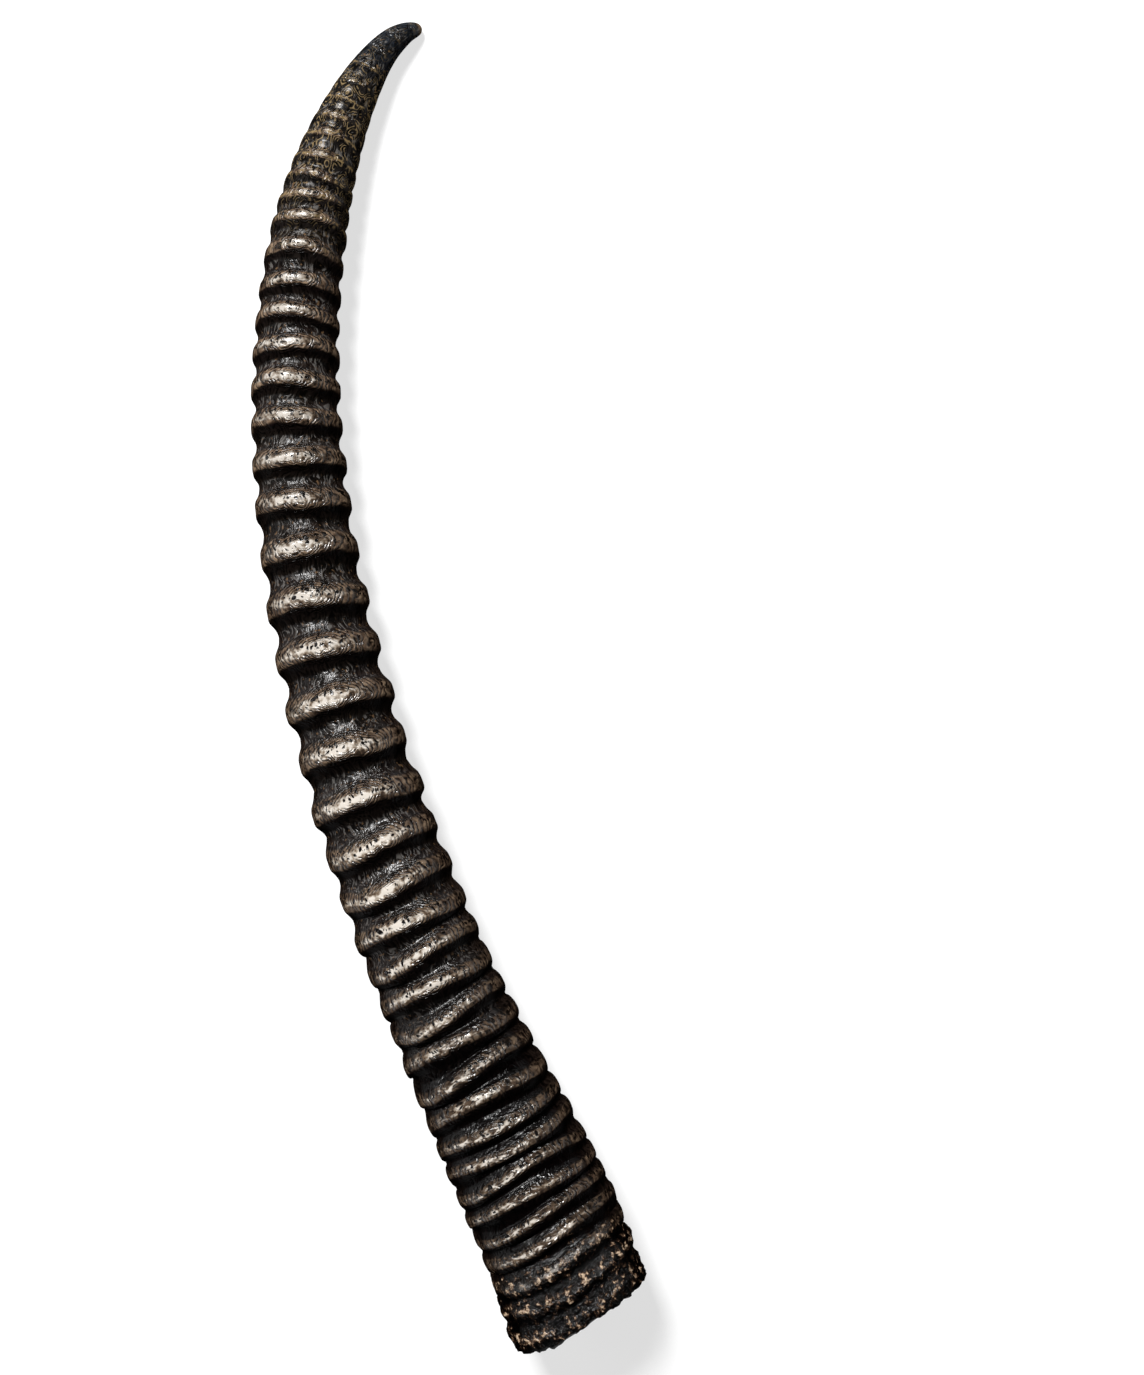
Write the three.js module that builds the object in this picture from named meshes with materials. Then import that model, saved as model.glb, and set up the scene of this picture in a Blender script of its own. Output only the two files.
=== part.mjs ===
// One horn of a sable antelope, lying on its side: the hollow keratin sheath, grown as a single piece.
// Millimetres, +Z up. It lies on z = 0 with its tip towards +Y and the outside of its bend towards -X.
// A station is a distance from the tip, along the line through the horn's middle.
import * as THREE from "three";

// Length and bend. The base is straight, the bend tightens towards the tip as a growth spiral does, and the
// last stretch hooks a little more.
const hornLength = 658;
const straightBase = 123;
const spiralEye = 42;
const spiralRate = THREE.MathUtils.degToRad(28);
const hookLength = 34;
const hookTurn = THREE.MathUtils.degToRad(26);

// Half the width in the plane of the bend, between the rings, as [station, size].
const halfWidths = [
  [0, 0],
  [0.6, 1.8],
  [2.5, 3.2],
  [7.5, 4.6],
  [14, 6.1],
  [22, 7.3],
  [46, 10.6],
  [84, 14.7],
  [130, 17.4],
  [189, 18.9],
  [266, 20.5],
  [361, 22.8],
  [449, 26.2],
  [512, 28.6],
  [592, 33.8],
  [658, 35.8],
];
const thicknessAtTip = 0.95;
const thicknessAtBase = 0.85;

// Rings: the gap from each one to the next, and how far each stands up, as [station, size].
const firstRing = 78;
const lastRing = 632;
const ringGaps = [
  [78, 10.2],
  [108, 10.8],
  [128, 15.8],
  [160, 14.8],
  [190, 17.8],
  [230, 18.9],
  [260, 23.4],
  [350, 24],
  [395, 22.2],
  [440, 18.6],
  [480, 15],
  [530, 14.6],
  [562, 12.4],
  [585, 10.9],
  [640, 11.2],
];
const ringHeights = [
  [60, 0.3],
  [90, 0.9],
  [112, 1.3],
  [163, 1.9],
  [200, 2.6],
  [275, 3.2],
  [345, 3.7],
  [415, 3.3],
  [460, 2.6],
  [504, 2.2],
  [570, 1.8],
  [658, 1.3],
];
const ringWander = 0.8;
const heightWander = 0.12;

// Round the horn each ring wavers, in height and in place, by two waves that the next ring has shifted.
const secondWave = 0.6;
const waveShifts = [3, 5];
const heightWaver = 0.5 * heightWander;
const placeWaver = 0.6 * ringWander;

// On the two broad faces the rings stand up this much more than along the edges of the bend.
const broadFaceGains = [
  [70, 0.4],
  [310, 0.4],
  [430, 0.7],
  [510, 1.1],
  [658, 1.5],
];

// Along the horn a ring is a roll: this share of the gap is its half width, more where the rings are close.
const rollWidths = [
  [70, 0.27],
  [310, 0.22],
  [450, 0.28],
  [610, 0.36],
];
const rollSteepness = 4;

// Where the rows of points are: stations before the first ring, and shares of the gap after each crest.
const tipStations = [0.6, 2.5, 6, 11, 18, 28, 40, 54, 68];
const ringRows = [0, 0.1, 0.25, 0.5, 0.74, 0.9];

// The rings lean: their upper side lies nearer the tip by this share of the half width,
// and so does their inner side.
const upperLeans = [
  [70, 0.22],
  [130, 0.24],
  [225, 0.2],
  [290, 0.12],
  [340, 0.07],
  [460, 0.04],
  [658, 0.02],
];
const innerLeans = [
  [70, 0.02],
  [290, 0.01],
  [410, 0.05],
  [470, 0.09],
  [658, 0.06],
];

// The rough base and its rim, and the hollow that the bone core leaves.
const crustLength = 24;
const crustRows = 6;
const crustRoughness = 1.4;
const rimDrop = 4;
const rimNarrowing = 3.5;
const rimRound = 1.8;
const rimWall = 6;
const hollowDepth = 140;
const hollowTaper = 0.5;
const hollowRows = 8;
const hollowCrowding = 0.9;
const leanEndsAtDepth = 60;

// The underside: ring crests rubbed flat where the horn lies, and the tip's clearance.
const rubbedFlat = 0.35;
const tipClearance = 2;
const sides = 20;

const { smoothstep, lerp } = THREE.MathUtils;

// A smooth value at x through [x, value] points, level beyond the first and the last.
function along(points, x) {
  const last = points.length - 1;
  if (x <= points[0][0]) return points[0][1];
  if (x >= points[last][0]) return points[last][1];
  const i = points.findIndex(([px]) => px > x) - 1;
  const slope = (a, b) => (points[b][1] - points[a][1]) / (points[b][0] - points[a][0]);
  const slopeAt = (k) => slope(Math.max(k - 1, 0), Math.min(k + 1, last));
  const span = points[i + 1][0] - points[i][0];
  const rise = points[i + 1][1] - points[i][1];
  const t = (x - points[i][0]) / span;
  const startsSteeper = slopeAt(i) * span - rise;
  const endsSteeper = slopeAt(i + 1) * span - rise;
  return points[i][1] + rise * t + t * (1 - t) * (startsSteeper * (1 - t) - endsSteeper * t);
}

// A repeatable value from -1 to 1 for the nth thing of a kind.
function unevenness(n, kind) {
  const wave = Math.sin(n * 12.9898 + kind * 78.233) * 43758.5453;
  return 2 * (wave - Math.floor(wave)) - 1;
}

// How far the horn has turned from the straight base to a station.
function bendAt(station) {
  const bendEnds = hornLength - straightBase;
  const hook = hookTurn * Math.max(1 - station / hookLength, 0) ** 2;
  return spiralRate * Math.log((bendEnds + spiralEye) / (Math.min(station, bendEnds) + spiralEye)) + hook;
}

// Walks the middle line from past the base to the tip, a millimetre at a time.
function walkMiddle(turn) {
  const line = [];
  const at = new THREE.Vector2(0, 0);
  for (let station = Math.ceil(hornLength + 2 * rimDrop); station >= 0; station--) {
    const heading = bendAt(station) - turn;
    line[station] = { x: at.x, y: at.y, heading };
    at.add(new THREE.Vector2(Math.sin(heading), Math.cos(heading)));
  }
  return line;
}

// The line is turned so that its tip lies straight along +Y from the middle of its base.
const unturned = walkMiddle(0);
const middle = walkMiddle(
  Math.atan2(unturned[0].x - unturned[hornLength].x, unturned[0].y - unturned[hornLength].y),
);

function middleAt(station) {
  const i = Math.min(Math.max(Math.floor(station), 0), middle.length - 2);
  const t = station - i;
  const ends = [middle[i], middle[i + 1]];
  const between = (key) => lerp(ends[0][key], ends[1][key], t);
  return { x: between("x"), y: between("y"), heading: between("heading") };
}

function thicknessAt(station) {
  return lerp(thicknessAtTip, thicknessAtBase, smoothstep(station, 0, hornLength));
}

// The height of the middle line that lets the ring crests touch z = 0.
function middleHeight(station) {
  const rise = along(ringHeights, station) * (1 + along(broadFaceGains, station));
  const crest = along(halfWidths, station) + rise;
  const lowest = crest * thicknessAt(station) * Math.cos(Math.PI / sides);
  return lowest - rubbedFlat + tipClearance * (1 - smoothstep(station, 0, firstRing));
}

// A row is a band of points around the horn. Lift is the ring's height there, and wander shifts it in waves.
function tipRows() {
  return tipStations.map((station) => ({
    station,
    radius: along(halfWidths, station),
    lift: 0,
    wander: 0,
  }));
}

function ringedRows() {
  const crests = [];
  for (let station = firstRing; station < lastRing; station += along(ringGaps, station)) {
    crests.push(station + ringWander * unevenness(crests.length, 1));
  }
  const rows = [];
  crests.slice(0, -1).forEach((crest, n) => {
    for (const share of ringRows) {
      const station = lerp(crest, crests[n + 1], share);
      const fromCrest = Math.min(share, 1 - share) / along(rollWidths, station);
      const nearest = share < 0.5 ? n : n + 1;
      const height = along(ringHeights, station) * (1 + heightWander * unevenness(nearest, 2));
      const lift = height / (1 + fromCrest ** rollSteepness);
      rows.push({ station, radius: along(halfWidths, station), lift, wander: unevenness(nearest, 4) });
    }
  });
  return rows;
}

function crustedRows() {
  const from = hornLength - crustLength;
  const rows = [];
  for (let k = 0; k < crustRows; k++) {
    const station = lerp(from, hornLength - rimRound, k / (crustRows - 1));
    const lift = along(ringHeights, station);
    rows.push({ station, radius: along(halfWidths, station), lift, wander: 0, rough: k + 1 });
  }
  return rows;
}

// The rim turns in over its rounded edge, and the hollow narrows to a blunt point.
function rimAndHollowRows() {
  const outer = along(halfWidths, hornLength);
  const mouth = outer - rimWall;
  const plain = { lift: 0, wander: 0 };
  const rows = [
    { ...plain, station: hornLength, radius: outer - rimRound },
    { ...plain, station: hornLength, radius: mouth + rimRound },
  ];
  for (let k = 0; k < hollowRows; k++) {
    const depth = rimRound + (hollowDepth - rimRound) * (k / hollowRows) ** hollowCrowding;
    const radius = mouth * (1 - depth / hollowDepth) ** hollowTaper;
    rows.push({ ...plain, station: hornLength - depth, radius, depth });
  }
  return rows;
}

// The point of a row at an angle, which runs from straight up towards the inside of the bend.
function pointAt(row, angle, n) {
  const up = Math.cos(angle);
  const inward = Math.sin(angle);
  const firstShift = waveShifts[0] * row.wander;
  const secondShift = waveShifts[1] * row.wander;
  const waves = Math.sin(2 * angle + firstShift) + secondWave * Math.sin(3 * angle + secondShift);
  const broad = 1 + along(broadFaceGains, row.station) * up * up;
  const lift = row.lift * broad * (1 + heightWaver * waves);
  const roughness = row.rough ? crustRoughness * unevenness(row.rough * sides + n, 3) : 0;
  const dropping = smoothstep(row.station, hornLength - 2 * crustLength, hornLength);
  const reach = row.radius + lift + roughness - rimNarrowing * dropping * inward;
  const upperLean = along(upperLeans, row.station) * up;
  const innerLean = along(innerLeans, row.station) * inward;
  const lean = (upperLean + innerLean) * row.radius;
  const inHollow = smoothstep(row.depth ?? 0, 0, leanEndsAtDepth);
  const leaning = smoothstep(row.station, 0, firstRing) * (1 - inHollow);
  const wander = row.lift > 0 ? placeWaver * waves : 0;
  const drop = rimDrop * dropping * (1 + up - inward) / 2;
  const station = row.station - lean * leaning + drop + wander;
  const centre = middleAt(Math.max(station, 0));
  const z = middleHeight(row.station) + reach * thicknessAt(row.station) * up;
  return new THREE.Vector3(
    centre.x + Math.cos(centre.heading) * reach * inward,
    centre.y - Math.sin(centre.heading) * reach * inward,
    Math.max(z, 0),
  );
}

// Skins the rows, with a pole at the tip and one at the bottom of the hollow.
function skin(rows) {
  const tip = middleAt(0);
  const points = [new THREE.Vector3(tip.x, tip.y, middleHeight(0))];
  for (const row of rows) {
    for (let n = 0; n < sides; n++) {
      points.push(pointAt(row, ((n + 0.5) / sides) * 2 * Math.PI, n));
    }
  }
  const bottom = middleAt(hornLength - hollowDepth);
  points.push(new THREE.Vector3(bottom.x, bottom.y, middleHeight(hornLength - hollowDepth)));
  const faces = [];
  const corner = (row, n) => 1 + row * sides + (n % sides);
  for (let n = 0; n < sides; n++) {
    faces.push(0, corner(0, n), corner(0, n + 1));
    for (let row = 0; row < rows.length - 1; row++) {
      faces.push(corner(row, n), corner(row + 1, n), corner(row + 1, n + 1));
      faces.push(corner(row, n), corner(row + 1, n + 1), corner(row, n + 1));
    }
    faces.push(corner(rows.length - 1, n), points.length - 1, corner(rows.length - 1, n + 1));
  }
  const geometry = new THREE.BufferGeometry().setFromPoints(points);
  geometry.setIndex(faces);
  geometry.computeVertexNormals();
  return geometry;
}

const keratin = new THREE.MeshStandardMaterial({
  color: new THREE.Color("#4a3f36"),
  roughness: 0.42,
  metalness: 0,
});

// The origin is under the middle of the horn's box.
const geometry = skin([...tipRows(), ...ringedRows(), ...crustedRows(), ...rimAndHollowRows()]);
geometry.computeBoundingBox();
const boxMiddle = geometry.boundingBox.getCenter(new THREE.Vector3());
geometry.translate(-boxMiddle.x, -boxMiddle.y, 0);

const horn = new THREE.Mesh(geometry, keratin);
horn.name = "horn";
const part = new THREE.Group();
part.add(horn);

export default part;
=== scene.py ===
# %% [markdown]
# # A sable antelope horn
#
# The horn is a sheath of keratin, the stuff of hooves and nails. It grew outwards from
# its open base, so it is one piece from the hooked tip to the ragged rim. This lesson
# models it straight, as a tube with rings, and bends it last, because rings are far
# easier to shape round a straight axis than round a curved one.
#
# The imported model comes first. It fixes where the horn lies and how large it may be.

# %% Load the frame
import math

import bpy
import numpy as np
from mathutils import Matrix, Vector


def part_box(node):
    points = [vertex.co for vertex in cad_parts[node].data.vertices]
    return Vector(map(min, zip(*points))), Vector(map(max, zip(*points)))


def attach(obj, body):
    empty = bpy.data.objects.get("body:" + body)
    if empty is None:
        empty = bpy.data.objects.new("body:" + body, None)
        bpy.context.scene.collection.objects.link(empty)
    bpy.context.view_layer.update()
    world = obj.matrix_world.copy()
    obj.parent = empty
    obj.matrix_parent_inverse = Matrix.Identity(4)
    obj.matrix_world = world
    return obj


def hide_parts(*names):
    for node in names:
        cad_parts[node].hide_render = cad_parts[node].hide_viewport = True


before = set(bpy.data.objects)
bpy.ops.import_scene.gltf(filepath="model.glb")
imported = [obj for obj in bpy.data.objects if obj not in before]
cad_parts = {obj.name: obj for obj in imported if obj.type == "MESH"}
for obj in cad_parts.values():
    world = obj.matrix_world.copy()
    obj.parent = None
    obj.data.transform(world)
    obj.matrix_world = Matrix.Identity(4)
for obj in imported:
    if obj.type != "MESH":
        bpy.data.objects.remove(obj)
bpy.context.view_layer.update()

horn_low, horn_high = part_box("horn")
bpy.ops.object.select_all(action="DESELECT")
print("horn box in mm:", [round(1000 * side, 1) for side in horn_high - horn_low])

# %% [markdown]
# ## What is measured
#
# Sizes are real ones, in millimetres, and places are stations: millimetres along the
# middle of the horn from its tip. A list of pairs gives a size at a few stations, and
# a smooth curve through the pairs gives it anywhere between.

# %% Sizes of the horn
MM = 0.001
HORN_LENGTH = 658
HALF_WIDTHS = [(0, 0), (0.6, 1.8), (2.5, 3.2), (7.5, 4.6), (14, 6.1), (22, 7.3), (46, 10.6), (84, 14.7),
               (130, 17.4), (189, 18.9), (266, 20.5), (361, 22.8), (449, 26.2), (512, 28.6),
               (592, 33.8), (658, 35.8)]
THICKNESS_AT_TIP = 0.95
THICKNESS_AT_BASE = 0.85


def along(pairs, x):
    """A smooth curve through the pairs, level beyond its ends."""
    px, py = np.array(pairs, float).T
    x = np.clip(x, px[0], px[-1])
    left = np.clip(np.searchsorted(px, x, side="right") - 1, 0, len(px) - 2)
    before = np.maximum(np.arange(len(px)) - 1, 0)
    after = np.minimum(np.arange(len(px)) + 1, len(px) - 1)
    slope = (py[after] - py[before]) / (px[after] - px[before])
    span = px[left + 1] - px[left]
    rise = py[left + 1] - py[left]
    t = (x - px[left]) / span
    start = slope[left] * span - rise
    end = slope[left + 1] * span - rise
    return py[left] + rise * t + t * (1 - t) * (start * (1 - t) - end * t)


def smooth_step(x, low, high):
    """From 0 at low to 1 at high, level at both ends."""
    t = np.clip((x - low) / (high - low), 0, 1)
    return t * t * (3 - 2 * t)


def uneven(n, kind):
    """A steady number from -1 to 1 for each n, so that no two rings are alike."""
    wave = np.sin(np.asarray(n, float) * 12.9898 + kind * 78.233) * 43758.5453
    return 2 * (wave - np.floor(wave)) - 1


def thickness_at(station):
    """How thick the horn is there, as a share of its width."""
    return THICKNESS_AT_TIP + (THICKNESS_AT_BASE - THICKNESS_AT_TIP) * smooth_step(station, 0, HORN_LENGTH)


print("half width in mm half way along:", round(float(along(HALF_WIDTHS, HORN_LENGTH / 2)), 1))

# %% [markdown]
# ## A plain straight tube
#
# A cone would do as a start, but its faces are long slivers that can't take rings. Here
# one straight edge is cut into short equal lengths and spun round the axis, which gives
# an even skin of small faces. The axis is X with the tip at 0, Z is the side that faces
# the camera, and Y is the inside of the bend.

# %% Spin the tube
LINE_CUTS = (6, 9, 7)
ROUND_STEPS = 172
TUBE_RADIUS = 0.01

bpy.ops.mesh.primitive_plane_add(size=0.01, location=(0, 0, 0))
horn = bpy.context.object
horn.name = "horn_sheath"
bpy.ops.object.mode_set(mode="EDIT")
bpy.ops.mesh.merge(type="CENTER")
bpy.ops.transform.translate(value=(0, 0, -TUBE_RADIUS))
bpy.ops.mesh.extrude_vertices_move(TRANSFORM_OT_translate={"value": (HORN_LENGTH * MM, 0, 0)})
for cuts in LINE_CUTS:
    bpy.ops.mesh.select_all(action="SELECT")
    bpy.ops.mesh.subdivide(number_cuts=cuts)
bpy.ops.mesh.select_all(action="SELECT")
bpy.ops.mesh.spin(steps=ROUND_STEPS, angle=2 * math.pi, center=(0, 0, 0), axis=(1, 0, 0))
bpy.ops.mesh.select_all(action="SELECT")
bpy.ops.mesh.remove_doubles(threshold=0.00001)
bpy.ops.object.mode_set(mode="OBJECT")
print("tube:", len(horn.data.vertices), "vertices,", len(horn.data.polygons), "faces")

# %% [markdown]
# The tip's open end is drawn together into one point, so that it is closed.

# %% Close the tip


def select_vertices(piece, chosen):
    """Leaves only the chosen vertices selected, ready for edit mode."""
    mesh = piece.data
    mesh.polygons.foreach_set("select", np.zeros(len(mesh.polygons), bool))
    mesh.edges.foreach_set("select", np.zeros(len(mesh.edges), bool))
    mesh.vertices.foreach_set("select", chosen)
    mesh.update()


def places(piece):
    """The places of a piece's vertices, one row each."""
    flat = np.empty(3 * len(piece.data.vertices))
    piece.data.vertices.foreach_get("co", flat)
    return flat.reshape(-1, 3)


def put(piece, co):
    """Moves a piece's vertices to the places given."""
    piece.data.vertices.foreach_set("co", co.ravel())
    piece.data.update()


bpy.context.tool_settings.mesh_select_mode = (True, False, False)
select_vertices(horn, places(horn)[:, 0] < 0.0001)
bpy.ops.object.mode_set(mode="EDIT")
bpy.ops.mesh.merge(type="CENTER")
bpy.ops.object.mode_set(mode="OBJECT")
print("closed at the tip:", len(horn.data.vertices), "vertices left")

# %% [markdown]
# ## The rings
#
# A horn thickens in yearly and seasonal bursts, and each burst leaves a ring. The gaps
# widen from 10 mm near the tip to 24 mm half way and close up again towards the base.
# On the horn's broad faces the rings stand up more than along its edges, and near the
# tip they lean: their upper side lies nearer the tip.

# %% Where the rings are
FIRST_RING = 78
LAST_RING = 632
RING_GAPS = [(78, 10.2), (108, 10.8), (128, 15.8), (160, 14.8), (190, 17.8), (230, 18.9), (260, 23.4),
             (350, 24), (395, 22.2), (440, 18.6), (480, 15), (530, 14.6), (562, 12.4), (585, 10.9),
             (640, 11.2)]
RING_HEIGHTS = [(35, 0.1), (60, 0.25), (78, 0.55), (90, 0.85), (112, 1.3), (163, 1.9), (200, 2.6),
                (275, 3.2), (345, 3.7), (415, 3.3), (460, 2.6), (504, 2.2), (570, 1.8), (658, 1.3)]
BROAD_GAINS = [(70, 0.4), (310, 0.4), (430, 0.7), (510, 1.1), (658, 1.5)]
TIPWARD_WIDTHS = [(60, 0.14), (130, 0.24), (310, 0.3), (450, 0.32)]
BASEWARD_WIDTHS = [(60, 0.5), (130, 0.3), (310, 0.25), (450, 0.28)]
ROLL_POWER = 4.5
TUBES_FROM, TUBES_TO = 400, 540
TUBE_HALF_WIDTH = 0.42
UPPER_LEANS = [(70, 0.22), (130, 0.24), (225, 0.2), (290, 0.12), (340, 0.07), (460, 0.04), (658, 0.02)]
INNER_LEANS = [(70, 0.02), (290, 0.01), (410, 0.05), (470, 0.09), (658, 0.06)]
RING_WANDER = 0.8
HEIGHT_WANDER = 0.12

crests = []
crest = FIRST_RING
while crest < LAST_RING:
    crests.append(crest + RING_WANDER * float(uneven(len(crests), 1)))
    crest += float(along(RING_GAPS, crest))


def ring_count(station):
    """0 at the first crest, 1 at the next, and so on, with fractions between."""
    count = np.interp(station, crests, np.arange(len(crests)))
    count = np.where(station < crests[0], (station - crests[0]) / RING_GAPS[0][1], count)
    past = len(crests) - 1 + (station - crests[-1]) / RING_GAPS[-1][1]
    return np.where(station > crests[-1], past, count)


print(len(crests), "rings, the last at", round(crests[-1]), "mm")

# %% [markdown]
# ## Shape the skin
#
# Every point of the tube is moved by code: out to the horn's width, up by the ring that
# it lies on, and along by the ring's lean and waves. Near the tip a ring's tipward side
# is the steeper one, half way down its baseward side is, and near the base the rings are
# round rolls that touch. They run on, lower, into a rough crust, where the horn grew through the skin. There the
# inside of the bend is drawn in and reaches further down. Four values are kept on each
# point for the finish: how far round it is, its ring count, its station and the gap.

# %% Station, angle and ring of every point
# Rows of points are packed closer over the tip's last 3%, which is a small round end.
TIP_EASE = 0.03

co = places(horn)
share = co[:, 0] / (HORN_LENGTH * MM)
station = np.where(share < TIP_EASE, share ** 2 / (2 * TIP_EASE), share - TIP_EASE / 2)
station *= HORN_LENGTH / (1 - TIP_EASE / 2)
angle = np.arctan2(co[:, 1], co[:, 2])
up, inward = np.cos(angle), np.sin(angle)

count = ring_count(station)
nearest = np.round(count)
from_crest = count - nearest
blend = smooth_step(count - np.floor(count), 0.2, 0.8)
wander = uneven(np.floor(count), 4) * (1 - blend) + uneven(np.floor(count) + 1, 4) * blend
waves = np.sin(2 * angle + 3 * wander) + 0.6 * np.sin(3 * angle + 5 * wander)
print(len(co), "points, the last at station", round(float(station.max())))

# %% How far the rings lift each point
CRUST_LENGTH = 24
ROLLS_FADE_FROM, ROLLS_FADE_TO = 0.7 * CRUST_LENGTH, 0.2 * CRUST_LENGTH
CRUST_RING_SHARE = 0.75

roll = np.where(from_crest > 0, along(BASEWARD_WIDTHS, station), along(TIPWARD_WIDTHS, station))
height = along(RING_HEIGHTS, station) * (1 + HEIGHT_WANDER * uneven(nearest, 2))
height *= 1 + along(BROAD_GAINS, station) * up ** 2
height *= 1 + 0.5 * HEIGHT_WANDER * waves
height *= smooth_step(station, 25, 50)
crusted = smooth_step(station, HORN_LENGTH - ROLLS_FADE_FROM, HORN_LENGTH - ROLLS_FADE_TO)
ridge = 1 / (1 + np.abs(from_crest / roll) ** ROLL_POWER)
tube = np.sqrt(np.clip(1 - (from_crest / TUBE_HALF_WIDTH) ** 2, 0, 1))
as_tube = smooth_step(station, TUBES_FROM, TUBES_TO)
lift = height * (ridge * (1 - as_tube) + tube * as_tube)
lift = lift * (1 - crusted) + CRUST_RING_SHARE * height * crusted
print("highest lift", round(float(lift.max()), 1), "mm")

# %% Rim, lean and waves
# The skin is drawn in by 1%, so that the lumps added later stay inside the solid's box.
SKIN_FIT = 0.99
RIM_DROP = 4
INNER_RIM_DROP = 0.8
RIM_NARROWING = 3.5
INNER_NARROWING = 0.5
RIM_ROUND = 1.8
WAVES = [(50, 0), (100, 0.5), (400, 0.7), (500, 1.1), (600, 1.1), (640, 0.5)]

dropping = smooth_step(station, HORN_LENGTH - 2 * CRUST_LENGTH, HORN_LENGTH)
inner_side = np.clip(inward, 0, 1) ** 2
rim = np.clip((station - HORN_LENGTH + RIM_ROUND) / RIM_ROUND, 0, 1)
drawn_in = RIM_NARROWING * dropping * (inward + INNER_NARROWING * inner_side)
reach = along(HALF_WIDTHS, station) + lift - drawn_in
reach = reach * SKIN_FIT - RIM_ROUND * (1 - np.sqrt(1 - rim ** 2))
s_bend = inward + 0.3 * np.sin(math.pi * inward)
lean = along(UPPER_LEANS, station) * up + along(INNER_LEANS, station) * s_bend
lean *= along(HALF_WIDTHS, station) * smooth_step(station, 0, FIRST_RING)
drop = RIM_DROP * dropping * ((1 + up - inward) / 2 + INNER_RIM_DROP * inner_side)
shifted = station - lean + drop
shifted += along(WAVES, station) * waves

co[:, 0] = shifted * MM
co[:, 1] = reach * inward * MM
co[:, 2] = reach * thickness_at(station) * up * MM
put(horn, co)
print("skin shaped, widest point", round(float(reach.max()), 1), "mm from the axis")

# %% Keep four values for the finish


def keep(piece, name, values):
    """Stores one number on each vertex under a name that a material can read."""
    kept = piece.data.attributes.new(name, "FLOAT", "POINT")
    kept.data.foreach_set("value", np.asarray(values, np.float32))


keep(horn, "round", (angle / (2 * math.pi) + 0.5) % 1)
keep(horn, "rings", count)
keep(horn, "station", station)
keep(horn, "gap", along(RING_GAPS, station) * MM)
print("kept:", [name for name in ("round", "rings", "station", "gap") if name in horn.data.attributes])

# %% [markdown]
# ## The hollow
#
# The sheath sat on a core of bone, so its base is open. The rim's edge loop is drawn in
# to give the wall its thickness, then pushed up into the horn in steps, each narrower
# than the last, and closed with a point.

# %% Draw the rim in and push the hollow up
RIM_WALL = 6
HOLLOW_DEPTH = 140
HOLLOW_TAPER = 0.5
HOLLOW_STEPS = 10

skin_faces = len(horn.data.polygons)
outer = float(along(HALF_WIDTHS, HORN_LENGTH))
widths = [outer - RIM_ROUND, outer - RIM_WALL + RIM_ROUND]
depths = [0, 0]
for k in range(HOLLOW_STEPS):
    depth = RIM_ROUND + (HOLLOW_DEPTH - RIM_ROUND) * (k / HOLLOW_STEPS) ** 0.9
    depths.append(depth)
    widths.append((outer - RIM_WALL) * (1 - depth / HOLLOW_DEPTH) ** HOLLOW_TAPER)

select_vertices(horn, station > HORN_LENGTH - 0.001)
bpy.ops.object.mode_set(mode="EDIT")
for step in range(1, len(widths)):
    along_axis = (depths[step - 1] - depths[step]) * MM
    narrower = widths[step] / widths[step - 1]
    bpy.ops.mesh.extrude_region_move(TRANSFORM_OT_translate={"value": (along_axis, 0, 0)})
    bpy.ops.transform.resize(value=(1, narrower, narrower), center_override=(0, 0, 0))
bpy.ops.mesh.extrude_region_move(TRANSFORM_OT_translate={"value": ((depths[-1] - HOLLOW_DEPTH) * MM, 0, 0)})
bpy.ops.mesh.merge(type="CENTER")
bpy.ops.mesh.select_all(action="SELECT")
bpy.ops.mesh.normals_make_consistent(inside=False)
bpy.ops.object.mode_set(mode="OBJECT")
print("with its hollow:", len(horn.data.polygons), "faces")

# %% [markdown]
# ## Lumps, dents and crust
#
# The grown surface is uneven at every size. Three Displace modifiers add what is large
# enough to change the outline: low lumps all over, and big lumps with coarse grains on
# them near the rim. A vertex group says how strongly each acts on a point.

# %% Three layers of unevenness
LUMP_SIZE = 7
LUMP_HEIGHT = 0.9
CRUST_LUMP = 7
CRUST_LUMP_HEIGHT = 5
CRUST_GRAIN = 3
CRUST_GRAIN_HEIGHT = 2.6
CRUST_STARTS, CRUST_FULL = 46, 14


def read(piece, name):
    """The numbers kept on a piece's vertices under that name."""
    values = np.empty(len(piece.data.vertices), np.float32)
    piece.data.attributes[name].data.foreach_get("value", values)
    return values


def weigh(piece, name, weights):
    """A vertex group from an array of weights, in steps of a twentieth."""
    group = piece.vertex_groups.new(name=name)
    steps = np.round(np.clip(weights, 0, 1) * 20).astype(int)
    for step in range(1, 21):
        group.add(np.flatnonzero(steps == step).tolist(), step / 20, "REPLACE")


def displace(piece, name, size, depth, levels):
    """Moves the skin in and out by a cloud pattern whose lumps have a real size."""
    clouds = bpy.data.textures.new(name, "CLOUDS")
    clouds.noise_scale = size * MM
    clouds.noise_depth = levels
    clouds.noise_basis = "IMPROVED_PERLIN"
    layer = piece.modifiers.new(name, "DISPLACE")
    layer.texture = clouds
    layer.texture_coords = "LOCAL"
    layer.strength = depth * MM
    layer.mid_level = 0.5
    layer.vertex_group = name
    bpy.ops.object.modifier_apply(modifier=name)


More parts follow.
